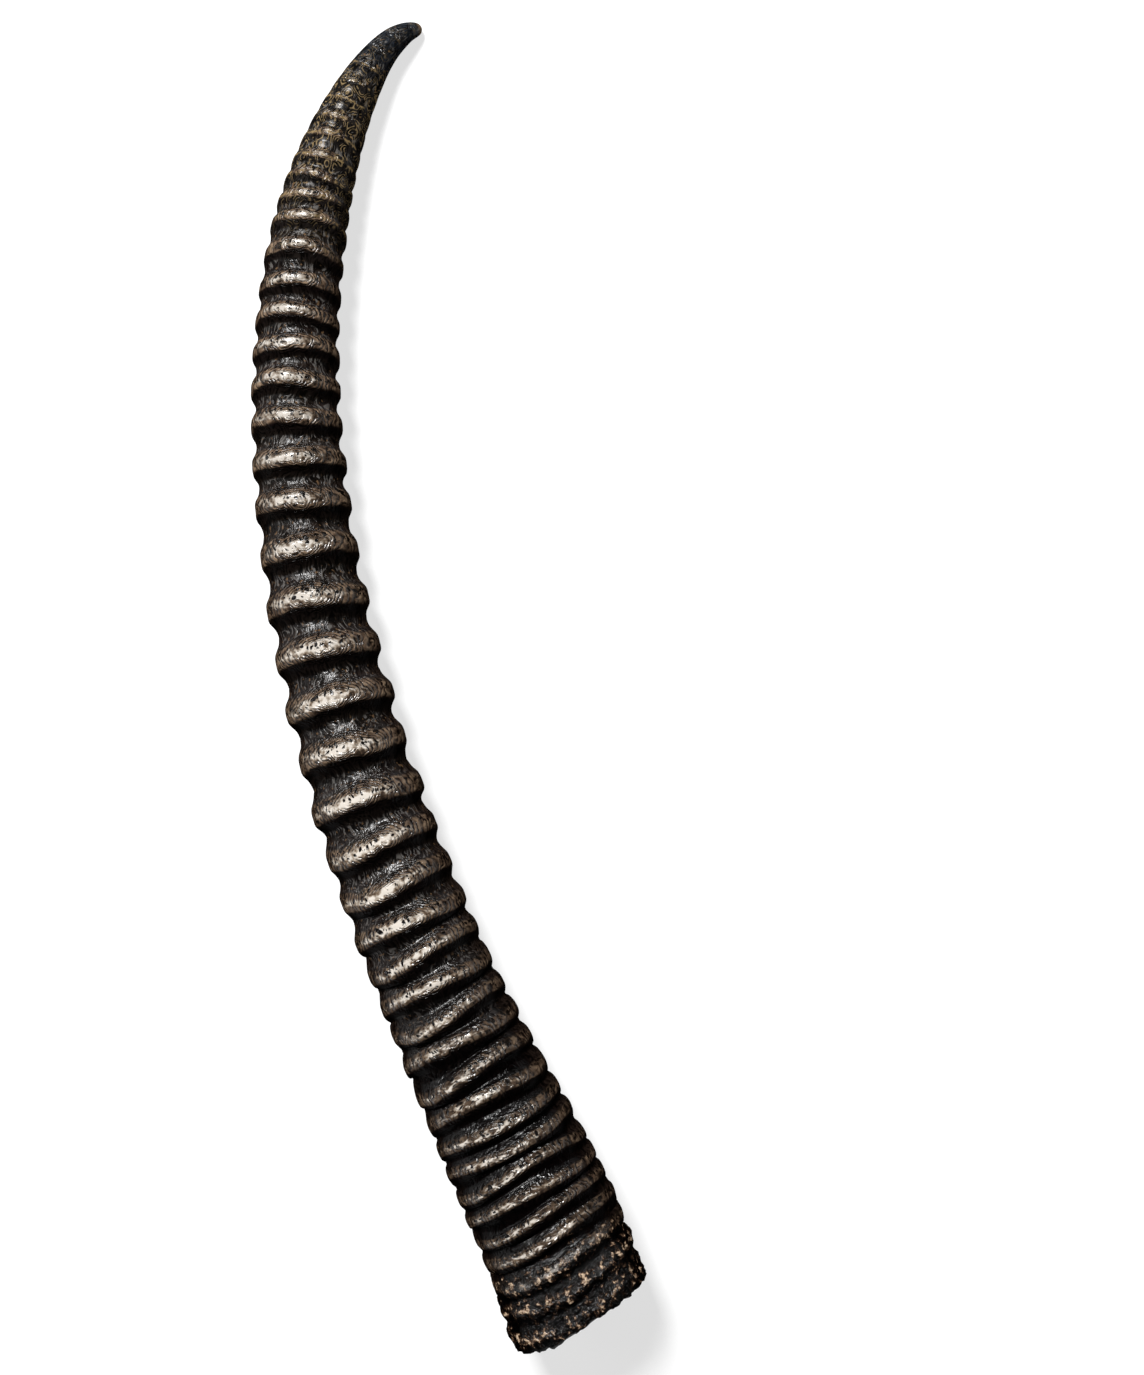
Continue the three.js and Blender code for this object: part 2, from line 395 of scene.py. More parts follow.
bpy.context.view_layer.objects.active = horn
station = read(horn, "station")
on_skin = np.ones(len(station))
on_skin[len(co):] = 0
weigh(horn, "lumps", on_skin * (0.15 + 0.85 * smooth_step(station, 40, 260)))
crust_weight = on_skin * smooth_step(station, HORN_LENGTH - CRUST_STARTS, HORN_LENGTH - CRUST_FULL)
weigh(horn, "crust_lumps", crust_weight)
weigh(horn, "crust_grains", crust_weight)
displace(horn, "lumps", LUMP_SIZE, LUMP_HEIGHT, 2)
displace(horn, "crust_lumps", CRUST_LUMP, CRUST_LUMP_HEIGHT, 2)
displace(horn, "crust_grains", CRUST_GRAIN, CRUST_GRAIN_HEIGHT, 2)

straight = places(horn).astype(np.float32)
kept = horn.data.attributes.new("straight", "FLOAT_VECTOR", "POINT")
kept.data.foreach_set("vector", straight.ravel())
print("lumps and crust applied")

# %% [markdown]
# ## The bend
#
# A sable horn bends more and more towards its tip, as a growth spiral does: the turn
# goes with the logarithm of the station. The last 34 mm hook round further. The middle
# line also climbs from the slim tip to the thick base, so that the crests underneath
# all touch the floor. A Curve modifier lays the straight horn along that line.

# %% The middle line
STRAIGHT_BASE = 123
SPIRAL_EYE = 42
SPIRAL_RATE = math.radians(28)
HOOK_LENGTH = 34
HOOK_TURN = math.radians(26)
RUBBED_FLAT = 0.35
TIP_CLEARANCE = 2
# The solid has 20 sides, and the middle of a side lies nearer the axis than its corners.
FACET_FIT = math.cos(math.pi / 20)
LINE_END = 670
LINE_STEP = 5

stations = np.arange(LINE_END + 1.0)
bent = np.minimum(stations, HORN_LENGTH - STRAIGHT_BASE)
turned = SPIRAL_RATE * np.log((HORN_LENGTH - STRAIGHT_BASE + SPIRAL_EYE) / (bent + SPIRAL_EYE))
turned += HOOK_TURN * np.maximum(1 - stations / HOOK_LENGTH, 0) ** 2


def walk(headings):
    """Steps 1 mm at a time from the base to the tip and returns x and y at each station."""
    steps = np.stack([np.sin(headings), np.cos(headings)], 1)
    return np.cumsum(steps[::-1], 0)[::-1]


unturned = walk(turned)
span = unturned[0] - unturned[HORN_LENGTH]
middle = walk(turned - math.atan2(span[0], span[1]))
crest_height = along(HALF_WIDTHS, stations)
crest_height += along(RING_HEIGHTS, stations) * (1 + along(BROAD_GAINS, stations))
middle_height = crest_height * thickness_at(stations) * FACET_FIT - RUBBED_FLAT
middle_height += TIP_CLEARANCE * (1 - smooth_step(stations, 0, FIRST_RING))

line = bpy.data.curves.new("middle_line", "CURVE")
line.dimensions = "3D"
line.twist_mode = "Z_UP"
line.use_deform_bounds = False
line.resolution_u = 6
spline = line.splines.new("NURBS")
picked = stations[::LINE_STEP].astype(int)
spline.points.add(len(picked) - 1)
for point, i in zip(spline.points, picked):
    point.co = (middle[i][0] * MM, middle[i][1] * MM, middle_height[i] * MM, 1)
spline.order_u = 4
spline.use_endpoint_u = True
guide = bpy.data.objects.new("middle_line", line)
bpy.context.collection.objects.link(guide)
print("the horn turns", round(math.degrees(turned[0])), "degrees in all")

# %% Bend the horn and set it in its place
bending = horn.modifiers.new("bend", "CURVE")
bending.object = guide
bending.deform_axis = "POS_X"
bpy.context.view_layer.objects.active = horn
bpy.ops.object.modifier_apply(modifier="bend")
bpy.data.objects.remove(guide)

co = places(horn)
print("bent box in mm:", np.round(1000 * co.min(0), 1), np.round(1000 * co.max(0), 1))
shift = (np.array(horn_low) + np.array(horn_high) - co.min(0) - co.max(0)) / 2
co[:, :2] += shift[:2]
co[:, 2] = np.maximum(co[:, 2], 0)
put(horn, co)
horn.data.shade_smooth()
print("horn lies at", np.round(1000 * co.min(0), 1), np.round(1000 * co.max(0), 1))

# %% [markdown]
# ## Coordinates for the finish
#
# The pattern on a horn follows its growth, not the room, so the material reads a UV map
# whose U runs once round the horn and whose V counts the rings. Where a face crosses
# the seam on the underside, its U goes on past 1 instead of jumping back.

# %% Unwrap by growth
uv_layer = horn.data.uv_layers.new(name="growth")
corner = np.empty(len(horn.data.loops), np.int32)
horn.data.loops.foreach_get("vertex_index", corner)
starts = np.empty(len(horn.data.polygons), np.int32)
horn.data.polygons.foreach_get("loop_start", starts)
totals = np.empty(len(horn.data.polygons), np.int32)
horn.data.polygons.foreach_get("loop_total", totals)
face_of = np.repeat(np.arange(len(starts)), totals)
u = read(horn, "round")[corner]
highest = np.maximum.reduceat(u, starts)[face_of]
u = np.where(highest - u > 0.5, u + 1, u)
uv = np.stack([u, read(horn, "rings")[corner]], 1).astype(np.float32)
uv_layer.data.foreach_set("uv", uv.ravel())
print("rings counted in V from", round(float(uv[:, 1].min()), 1), "to", round(float(uv[:, 1].max()), 1))

# %% [markdown]
# ## Horn keratin
#
# Horn is keratin laid down in fine lengthwise fibres: near black where it is thick and
# deep, brown at its thin edges. It is rubbed pale and half glossy on the ring crests of
# the broad faces, where it wears, and its index of refraction is about 1.55. Nobody
# made this surface: it grew, and then wear polished what stands up and left dull what
# lies low. The colours below also hold painted light: painted shade past each crest,
# between the rolls and in grooves and pits, and painted highlights and sheen on crests,
# strands and slopes. Below, places along the horn are in metres from its tip.
#
# Most inputs of a node are given by number. A Map Range takes its input 0 from the range
# 1 to 2 (0 to 1 if left out) to the range 3 to 4. A Mix of colours has its factor at 0,
# its colours at 6 and 7 and its result at output 2. A Mix of numbers has them at 2 and 3.

# %% Helpers for materials
EASED = {"interpolation_type": "SMOOTHSTEP"}


def linear(code):
    """An sRGB hex colour as the linear colour that a shader wants."""
    parts = [int(code[i:i + 2], 16) / 255 for i in (1, 3, 5)]
    return tuple(p / 12.92 if p <= 0.04045 else ((p + 0.055) / 1.055) ** 2.4 for p in parts) + (1,)


def add_node(tree, kind, links=None, stops=None, **settings):
    """Adds a node with its properties, its colour stops, and values or links for its inputs.

    A node that is given as a value stands for its first output.
    """
    made = tree.nodes.new(kind)
    for name, value in settings.items():
        setattr(made, name, value)
    if stops:
        elements = made.color_ramp.elements
        elements[1].position = stops[-1][0]
        for position, code in stops[1:-1]:
            elements.new(position)
        for stop, (position, code) in zip(elements, stops):
            stop.position = position
            stop.color = linear(code)
    for socket, value in (links or {}).items():
        if isinstance(value, bpy.types.Node):
            value = value.outputs[0]
        if isinstance(value, bpy.types.NodeSocket):
            tree.links.new(value, made.inputs[socket])
        else:
            made.inputs[socket].default_value = value
    return made


def new_material(name):
    """An empty material, with its tree and its shader ready."""
    material = bpy.data.materials.new(name)
    material.use_nodes = True
    tree = material.node_tree
    tree.nodes.clear()
    shader = add_node(tree, "ShaderNodeBsdfPrincipled")
    add_node(tree, "ShaderNodeOutputMaterial", {"Surface": shader})
    return material, tree, shader


keratin, tree, shader = new_material("horn_keratin_rubbed")
print("helpers ready")

# %% Where a point is on the horn
growth = add_node(tree, "ShaderNodeUVMap", uv_map="growth")
grown = add_node(tree, "ShaderNodeSeparateXYZ", {0: growth})
at = add_node(tree, "ShaderNodeAttribute", attribute_name="straight").outputs["Vector"]
place = add_node(tree, "ShaderNodeSeparateXYZ", {0: at})
down_axis = place.outputs[0]

# A slow noise makes the edges of every band wander by about a twentieth of a gap. The
# noise has its mean at 0.5, so with 0.42 added a crest lies at 0.5 in the ring's share.
slow = add_node(tree, "ShaderNodeTexNoise", {"Vector": at, "Scale": 1 / (9 * MM), "Detail": 2.0})
wobble = add_node(tree, "ShaderNodeMath", {0: slow, 1: 0.16}, operation="MULTIPLY")
wandering = add_node(tree, "ShaderNodeMath", {0: grown.outputs[1], 1: wobble}, operation="ADD")
half_on = add_node(tree, "ShaderNodeMath", {0: wandering, 1: 0.42}, operation="ADD")
ring_share = add_node(tree, "ShaderNodeMath", {0: half_on}, operation="FRACT")
from_crest = add_node(tree, "ShaderNodeMath", {0: ring_share, 1: 0.5}, operation="SUBTRACT")
off_crest = add_node(tree, "ShaderNodeMath", {0: from_crest}, operation="ABSOLUTE")

# 1 on the middle of both broad faces, 0 at the horn's two edges.
round_turn = add_node(tree, "ShaderNodeMath", {0: grown, 1: 2 * math.pi}, operation="MULTIPLY")
cosine = add_node(tree, "ShaderNodeMath", {0: round_turn}, operation="COSINE")
broad = add_node(tree, "ShaderNodeMath", {0: cosine}, operation="ABSOLUTE")

# -1 at one side of the bend, 1 at the other. Then how far a face looks up, and where
# the smooth tip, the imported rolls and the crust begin.
sine = add_node(tree, "ShaderNodeMath", {0: round_turn}, operation="SINE")
facing = add_node(tree, "ShaderNodeMapRange", {0: broad, 1: 0.3, 2: 0.75}, **EASED)
near_tip = add_node(tree, "ShaderNodeMapRange", {0: down_axis, 1: 0.16, 2: 0.075}, **EASED)
near_base = add_node(tree, "ShaderNodeMapRange", {0: down_axis, 1: 0.44, 2: 0.54}, **EASED)
uneven_down = add_node(tree, "ShaderNodeMath", {0: slow, 1: 0.03, 2: down_axis}, operation="MULTIPLY_ADD")
crusty = add_node(tree, "ShaderNodeMapRange", {0: uneven_down, 1: 0.63, 2: 0.652}, **EASED)
print("coordinates: growth UV and the place on the straight horn")

# %% [markdown]
# The ground colour changes within each gap. Just past a crest the horn is black: that is
# painted shade, on the crest's baseward side where the light does not reach. The valley
# is dark brown, and the slope up to the next crest is slate grey, a tint that stands for
# a bluish sheen, so painted sheen. Bundles of fibres run along the horn and swirl a
# little, so a noise is pushed about by a larger one and then stretched along the axis.
# The strands are drawn 1.2 mm wide, coarser than real ones, because finer ones wouldn't
# show in the picture.

# %% Fibres
swirl = add_node(tree, "ShaderNodeTexNoise",
                 {"Vector": at, "Scale": 1 / (12 * MM), "Detail": 1.0}).outputs["Color"]
swirled = add_node(tree, "ShaderNodeVectorMath", {0: swirl, 1: (14 * MM, 14 * MM, 14 * MM), 2: at},
                   operation="MULTIPLY_ADD")
stretched = add_node(tree, "ShaderNodeMapping", {"Vector": swirled, "Scale": (0.2, 1, 1)})
fibre = add_node(tree, "ShaderNodeTexNoise",
                 {"Vector": stretched, "Scale": 1 / (1.2 * MM), "Detail": 1.5, "Distortion": 0.6})
print("fibres done")

# %% Colours within a gap
# From one valley to the next, each with the crest at 0.5: the gaps of the slim part, the
# tightly packed rolls near the base, and the horn's two edges. The near black past each
# crest and the near black grooves between the rolls are painted shade; the slate grey
# on the slope is painted sheen.
gap_colours_and_shade = add_node(tree, "ShaderNodeValToRGB", {0: ring_share}, stops=[
    (0.0, "#070504"), (0.12, "#120d0a"), (0.24, "#121010"), (0.34, "#17181b"), (0.5, "#19120d"),
    (0.58, "#080504"), (0.66, "#050303"), (0.88, "#070504"), (1.0, "#070504")])
roll_colours_and_shade = add_node(tree, "ShaderNodeValToRGB", {0: ring_share}, stops=[
    (0.0, "#020101"), (0.2, "#030202"), (0.29, "#0f0b08"), (0.37, "#261d16"), (0.47, "#34281f"),
    (0.56, "#1a130e"), (0.66, "#050303"), (0.78, "#020101"), (1.0, "#020101")])
edge_colours_and_shade = add_node(tree, "ShaderNodeValToRGB", {0: ring_share}, stops=[
    (0.0, "#120d0a"), (0.3, "#1a130f"), (0.48, "#30241b"), (0.62, "#120c09"), (0.75, "#050403"),
    (1.0, "#120d0a")])
by_ring = add_node(tree, "ShaderNodeMix", {0: near_base, 6: gap_colours_and_shade, 7: roll_colours_and_shade}, data_type="RGBA")
edge_part = add_node(tree, "ShaderNodeMapRange", {0: broad, 1: 0.7, 2: 0.15, 4: 0.7}, **EASED)
with_edges = add_node(tree, "ShaderNodeMix", {0: edge_part, 6: by_ring.outputs[2], 7: edge_colours_and_shade},
                      data_type="RGBA")
slate = add_node(tree, "ShaderNodeMapRange", {0: down_axis, 1: 0.05, 2: 0.02}, **EASED)
tip_colour = add_node(tree, "ShaderNodeMix", {0: slate, 6: linear("#0d0b0a"), 7: linear("#0e1013")},
                      data_type="RGBA")
with_tip = add_node(tree, "ShaderNodeMix",
                    {0: near_tip, 6: with_edges.outputs[2], 7: tip_colour.outputs[2]}, data_type="RGBA")
fibre_light = add_node(tree, "ShaderNodeMapRange", {0: fibre, 1: 0.38, 2: 0.62, 3: 0.3, 4: 2.0})
ground = add_node(tree, "ShaderNodeVectorMath", {0: with_tip.outputs[2], "Scale": fibre_light},
                  operation="SCALE")
print("ground colours done")

# %% [markdown]
# In the middle of each valley some strands stand free of the rest, and where they face
# up they are painted a pale grey: a painted glint. Small tan flecks lie among them. The
# rolls near the base have neither.

# %% Painted glints on strands, and tan flecks
valley_edge = add_node(tree, "ShaderNodeMapRange", {0: ring_share, 1: 0.4, 2: 0.28}, **EASED)
past_shadow = add_node(tree, "ShaderNodeMapRange", {0: ring_share, 1: 0.88, 2: 0.99}, **EASED)
valley = add_node(tree, "ShaderNodeMath", {0: valley_edge, 1: past_shadow}, operation="MAXIMUM")
strand = add_node(tree, "ShaderNodeMapRange", {0: fibre, 1: 0.56, 2: 0.64})
strands = add_node(tree, "ShaderNodeMath", {0: strand, 1: valley}, operation="MULTIPLY")
not_on_rolls = add_node(tree, "ShaderNodeMapRange", {0: near_base, 3: 1.0, 4: 0.0})
on_valleys = add_node(tree, "ShaderNodeMath", {0: strands, 1: not_on_rolls}, operation="MULTIPLY")
# Strands that face up are painted pale grey: a painted glint.
painted_glints = add_node(tree, "ShaderNodeMath", {0: on_valleys, 1: facing}, operation="MULTIPLY")
with_painted_glints = add_node(tree, "ShaderNodeMix", {0: painted_glints, 6: ground, 7: linear("#3c3a38")},
                       data_type="RGBA")
fleck_noise = add_node(tree, "ShaderNodeTexNoise", {"Vector": at, "Scale": 1 / (1.6 * MM), "Detail": 0.0})
fleck = add_node(tree, "ShaderNodeMapRange", {0: fleck_noise, 1: 0.7, 2: 0.78, 4: 0.5})
fleck_where = add_node(tree, "ShaderNodeMath", {0: valley, 1: not_on_rolls}, operation="MULTIPLY")
fleck_part = add_node(tree, "ShaderNodeMath", {0: fleck, 1: fleck_where}, operation="MULTIPLY")
with_flecks = add_node(tree, "ShaderNodeMix",
                       {0: fleck_part, 6: with_painted_glints.outputs[2], 7: linear("#54402c")},
                       data_type="RGBA").outputs[2]
print("valleys done")

# %% [markdown]
# Each crest is rubbed pale in one long spot, a lens in outline, which lies left of the
# middle of the broad face and a little on the crest's tipward side. That is where the
# light falls, so the spot is partly worn keratin and partly a painted highlight, and it
# ends sharply on the baseward side, where painted shade begins. It is about 7 mm wide
# half way along, and shorter and shorter towards the tip. Round it lies a collar of
# bronze, cut off on the baseward side by the same painted shade. The distance from the
# spot's middle, measured in its own half length and half width, gives both, and a
# patchy noise breaks up their edges. On the rolls, fine scratches about 1.5 mm apart run
# along the crest and break the spot into pale streaks, which stand partly for painted
# highlights. Towards the tip the spots are less pale and the horn round them is lighter.

# %% Distance from the rubbed spot
HALF_SPOT_WIDTH = 0.165
# SPOT_TIPWARD and SPOT_SIDE put the pale spot up the crest and to the left, where the light falls: in part a
# painted highlight.
SPOT_TIPWARD = 0.04
SPOT_SIDE = 0.13

patch = add_node(tree, "ShaderNodeTexNoise", {"Vector": at, "Scale": 1 / (3.2 * MM), "Detail": 2.0})
spot_length = add_node(tree, "ShaderNodeMapRange", {0: down_axis, 1: 0.08, 2: 0.18, 3: 0.3, 4: 0.92})
aside = add_node(tree, "ShaderNodeMath", {0: sine, 1: SPOT_SIDE}, operation="SUBTRACT")
spot_round = add_node(tree, "ShaderNodeMath", {0: aside, 1: spot_length}, operation="DIVIDE")
tipward = add_node(tree, "ShaderNodeMath", {0: from_crest, 1: SPOT_TIPWARD}, operation="ADD")
spot_across = add_node(tree, "ShaderNodeMath", {0: tipward, 1: HALF_SPOT_WIDTH}, operation="DIVIDE")
spot_place = add_node(tree, "ShaderNodeCombineXYZ", {0: spot_round, 1: spot_across})
from_spot = add_node(tree, "ShaderNodeVectorMath", {0: spot_place}, operation="LENGTH").outputs["Value"]
patchy = add_node(tree, "ShaderNodeMath", {0: patch, 1: 0.9, 2: from_spot}, operation="MULTIPLY_ADD")
print("distance from the spot done")

# %% Where the spot and its collar show
faces_up = add_node(tree, "ShaderNodeMapRange", {0: broad, 1: 0.0, 2: 0.5}, **EASED)
past_tip = add_node(tree, "ShaderNodeMapRange", {0: down_axis, 1: 0.052, 2: 0.07}, **EASED)
collar_where = add_node(tree, "ShaderNodeMath", {0: faces_up, 1: past_tip}, operation="MULTIPLY")
collar_fade = add_node(tree, "ShaderNodeMapRange", {0: patchy, 1: 2.4, 2: 1.8}, **EASED)
off_band = add_node(tree, "ShaderNodeMath", {0: tipward}, operation="ABSOLUTE")
lit_side = add_node(tree, "ShaderNodeMapRange", {0: off_band, 1: 0.27, 2: 0.18}, **EASED)
above_shadow = add_node(tree, "ShaderNodeMapRange", {0: from_crest, 1: 0.2, 2: 0.12}, **EASED)
both_sides = add_node(tree, "ShaderNodeMath", {0: lit_side, 1: above_shadow}, operation="MULTIPLY")
less_on_rolls = add_node(tree, "ShaderNodeMapRange", {0: near_base, 3: 1.0, 4: 0.65})
collar_side = add_node(tree, "ShaderNodeMath", {0: both_sides, 1: less_on_rolls}, operation="MULTIPLY")
collar_lit = add_node(tree, "ShaderNodeMath", {0: collar_fade, 1: collar_side}, operation="MULTIPLY")
collar = add_node(tree, "ShaderNodeMath", {0: collar_lit, 1: collar_where}, operation="MULTIPLY")
spot_fade = add_node(tree, "ShaderNodeMapRange", {0: patchy, 1: 1.4, 2: 1.18}, **EASED)
gap = add_node(tree, "ShaderNodeAttribute", attribute_name="gap").outputs["Fac"]
from_crest_m = add_node(tree, "ShaderNodeMath", {0: from_crest, 1: gap}, operation="MULTIPLY")
slow_round = add_node(tree, "ShaderNodeMath", {0: place.outputs[1], 1: 0.3}, operation="MULTIPLY")
slow_down = add_node(tree, "ShaderNodeMath", {0: down_axis, 1: 0.15}, operation="MULTIPLY")
along_roll = add_node(tree, "ShaderNodeCombineXYZ", {0: from_crest_m, 1: slow_round, 2: slow_down})
streak = add_node(tree, "ShaderNodeTexNoise",
                  {"Vector": along_roll, "Scale": 1 / (1.5 * MM), "Detail": 2.0, "Distortion": 0.5})
scratch = add_node(tree, "ShaderNodeMapRange", {0: streak, 1: 0.44, 2: 0.56, 4: 0.9})
broken = add_node(tree, "ShaderNodeMix", {0: near_base, 2: 1.0, 3: scratch})
spot_left = add_node(tree, "ShaderNodeMath", {0: broken, 1: past_tip}, operation="MULTIPLY")
# The spot stops sharply on its baseward side, where the painted shade begins.
spot_shade_cut = add_node(tree, "ShaderNodeMapRange", {0: from_crest, 1: 0.15, 2: 0.11}, **EASED)
spot_lit = add_node(tree, "ShaderNodeMath", {0: spot_fade, 1: spot_shade_cut}, operation="MULTIPLY")
wear_and_highlight_spot = add_node(tree, "ShaderNodeMath", {0: spot_lit, 1: spot_left}, operation="MULTIPLY")
print("spot and collar placed")

# %% Colours of the spot and its collar
bronze = add_node(tree, "ShaderNodeValToRGB", {0: patch}, stops=[
    (0.34, "#2a2018"), (0.5, "#42352a"), (0.66, "#5e4f40")])
from_rim = add_node(tree, "ShaderNodeMath", {0: from_spot, 1: -0.2, 2: 0.14}, operation="MULTIPLY_ADD")
spot_light = add_node(tree, "ShaderNodeMath", {0: patch, 1: 0.8, 2: from_rim}, operation="MULTIPLY_ADD")
streaked = add_node(tree, "ShaderNodeMath", {0: streak, 1: 0.2, 2: spot_light}, operation="MULTIPLY_ADD")
cream = add_node(tree, "ShaderNodeValToRGB", {0: streaked}, stops=[
    (0.38, "#2a2018"), (0.45, "#5c4e40"), (0.52, "#8a8074"), (0.6, "#b3aca3")])
with_collar = add_node(tree, "ShaderNodeMix", {0: collar, 6: with_flecks, 7: bronze}, data_type="RGBA")
lighter_up = add_node(tree, "ShaderNodeMapRange", {0: down_axis, 1: 0.46, 2: 0.2, 3: 1.0, 4: 1.35})
round_spot = add_node(tree, "ShaderNodeVectorMath", {0: with_collar.outputs[2], "Scale": lighter_up},
                      operation="SCALE")
darker_up = add_node(tree, "ShaderNodeMapRange", {0: down_axis, 1: 0.42, 2: 0.2, 3: 1.06, 4: 0.68})
wear_and_highlight_colour = add_node(tree, "ShaderNodeVectorMath", {0: cream, "Scale": darker_up}, operation="SCALE")
with_spot = add_node(tree, "ShaderNodeMix", {0: wear_and_highlight_spot, 6: round_spot, 7: wear_and_highlight_colour}, data_type="RGBA")
print("spots and collars done")

# %% [markdown]
# Each spot is pitted, most along its tipward edge, and the pits are painted near
# black: painted shade in the holes. The collar is wrinkled: grooves 2 to 3 mm apart
# run round the spot in long ovals, as contour lines run round a hill, so they are drawn
# from the distance to the spot's middle. Real ones lie closer together, but wouldn't
# show. The low side of each groove is painted darker, which is painted shade in the
# crease.

# %% Pits
PIT_SPACING = 1.9

pit_at = add_node(tree, "ShaderNodeMapping", {"Vector": swirled, "Scale": (0.65, 1, 1)})
pit_cells = add_node(tree, "ShaderNodeTexVoronoi", {"Vector": pit_at, "Scale": 1 / (PIT_SPACING * MM)})
pit_kind = add_node(tree, "ShaderNodeSeparateXYZ", {0: pit_cells.outputs["Color"]})
pit_size = add_node(tree, "ShaderNodeMapRange", {0: pit_kind, 1: 0.2, 2: 1.0, 3: 0.22, 4: 0.6})
pit_inside = add_node(tree, "ShaderNodeMath", {0: pit_size, 1: pit_cells.outputs["Distance"]},
                      operation="SUBTRACT")
pit_round = add_node(tree, "ShaderNodeMapRange", {0: pit_inside, 1: 0.0, 2: 0.1}, **EASED)
pit_side = add_node(tree, "ShaderNodeMapRange", {0: from_crest, 1: 0.03, 2: -0.04, 3: 0.0, 4: 1.0}, **EASED)
pit_there = add_node(tree, "ShaderNodeMath", {0: pit_round, 1: pit_side}, operation="MULTIPLY")
pits = add_node(tree, "ShaderNodeMath", {0: pit_there, 1: collar_fade}, operation="MULTIPLY")
# The pits are painted near black: painted shade.
with_pit_shade = add_node(tree, "ShaderNodeMix", {0: pits, 6: with_spot.outputs[2], 7: linear("#070504")},
                     data_type="RGBA")
print("pits done")

# %% Wrinkles
WRINKLE_SPACING = 2.0
ROLL_WRINKLE_SPACING = 3.0

oval_down = add_node(tree, "ShaderNodeMath", {0: from_crest_m, 1: 1.9}, operation="MULTIPLY")
oval_place = add_node(tree, "ShaderNodeCombineXYZ", {0: place.outputs[1], 1: oval_down})
oval = add_node(tree, "ShaderNodeVectorMath", {0: oval_place}, operation="LENGTH").outputs["Value"]
lines_per_m = add_node(tree, "ShaderNodeMapRange",
                       {0: near_base, 3: 1 / (WRINKLE_SPACING * MM), 4: 1 / (ROLL_WRINKLE_SPACING * MM)})
oval_lines = add_node(tree, "ShaderNodeMath", {0: oval, 1: lines_per_m}, operation="MULTIPLY")
oval_bent = add_node(tree, "ShaderNodeMath", {0: slow, 1: 5.0, 2: oval_lines}, operation="MULTIPLY_ADD")
oval_turn = add_node(tree, "ShaderNodeMath", {0: oval_bent, 1: 2 * math.pi}, operation="MULTIPLY")
groove = add_node(tree, "ShaderNodeMath", {0: oval_turn}, operation="SINE")
outside_spot = add_node(tree, "ShaderNodeMapRange", {0: patchy, 1: 0.85, 2: 1.15}, **EASED)
inside_collar = add_node(tree, "ShaderNodeMapRange", {0: patchy, 1: 2.6, 2: 2.0}, **EASED)
wrinkle_zone = add_node(tree, "ShaderNodeMath", {0: outside_spot, 1: inside_collar}, operation="MULTIPLY")
wear = add_node(tree, "ShaderNodeTexNoise",
                {"Vector": at, "Scale": 1 / (2.2 * MM), "Detail": 2.0, "Roughness": 0.6})
wrinkle_depth = add_node(tree, "ShaderNodeMapRange", {0: wear, 1: 0.4, 2: 0.58, 3: 0.5, 4: 1.0})
wrinkled = add_node(tree, "ShaderNodeMath", {0: wrinkle_zone, 1: wrinkle_depth}, operation="MULTIPLY")
# The low side of each groove is painted darker: painted shade in the crease.
groove_low_side = add_node(tree, "ShaderNodeMapRange", {0: groove, 1: 0.0, 2: -0.6})
groove_shade = add_node(tree, "ShaderNodeMath", {0: groove_low_side, 1: wrinkled}, operation="MULTIPLY")
with_groove_shade = add_node(tree, "ShaderNodeMix",
                         {0: groove_shade, 6: with_pit_shade.outputs[2], 7: linear("#0b0705")}, data_type="RGBA")
print("wrinkles done")

# %% [markdown]
# The tip is smooth and polished, nearly black with ochre lines that wander as wood
# grain does, and worn to tan at its very end. The lines are contour lines of a smooth
# noise. Each faint ring there shows as one ochre arc on its crest, partly worn keratin
# and partly a painted highlight where the crest catches the light. The base is a nearly
# black crust with tan grains of 1 to 3 mm, most of them on the crests, and the crust is
# painted darker in the gaps between the rolls, which is painted shade.

# %% Lines, arcs and the worn end of the tip
worm_noise = add_node(tree, "ShaderNodeTexNoise", {"Vector": at, "Scale": 1 / (8 * MM), "Detail": 1.0})
worm_turn = add_node(tree, "ShaderNodeMath", {0: worm_noise, 1: 2 * math.pi * 12}, operation="MULTIPLY")
worm_wave = add_node(tree, "ShaderNodeMath", {0: worm_turn}, operation="SINE")
worm = add_node(tree, "ShaderNodeMapRange", {0: worm_wave, 1: 0.3, 2: 0.95})
worm_patch = add_node(tree, "ShaderNodeMapRange", {0: patch, 1: 0.44, 2: 0.56})
worm_seen = add_node(tree, "ShaderNodeMath", {0: worm, 1: worm_patch}, operation="MULTIPLY")
worm_where = add_node(tree, "ShaderNodeMapRange", {0: down_axis, 1: 0.13, 2: 0.085, 4: 0.85})
not_slate = add_node(tree, "ShaderNodeMapRange", {0: slate, 3: 1.0, 4: 0.15})
worm_zone = add_node(tree, "ShaderNodeMath", {0: worm_where, 1: not_slate}, operation="MULTIPLY")
worm_part = add_node(tree, "ShaderNodeMath", {0: worm_seen, 1: worm_zone}, operation="MULTIPLY")
with_worms = add_node(tree, "ShaderNodeMix",
                      {0: worm_part, 6: with_groove_shade.outputs[2], 7: linear("#6d5d42")}, data_type="RGBA")
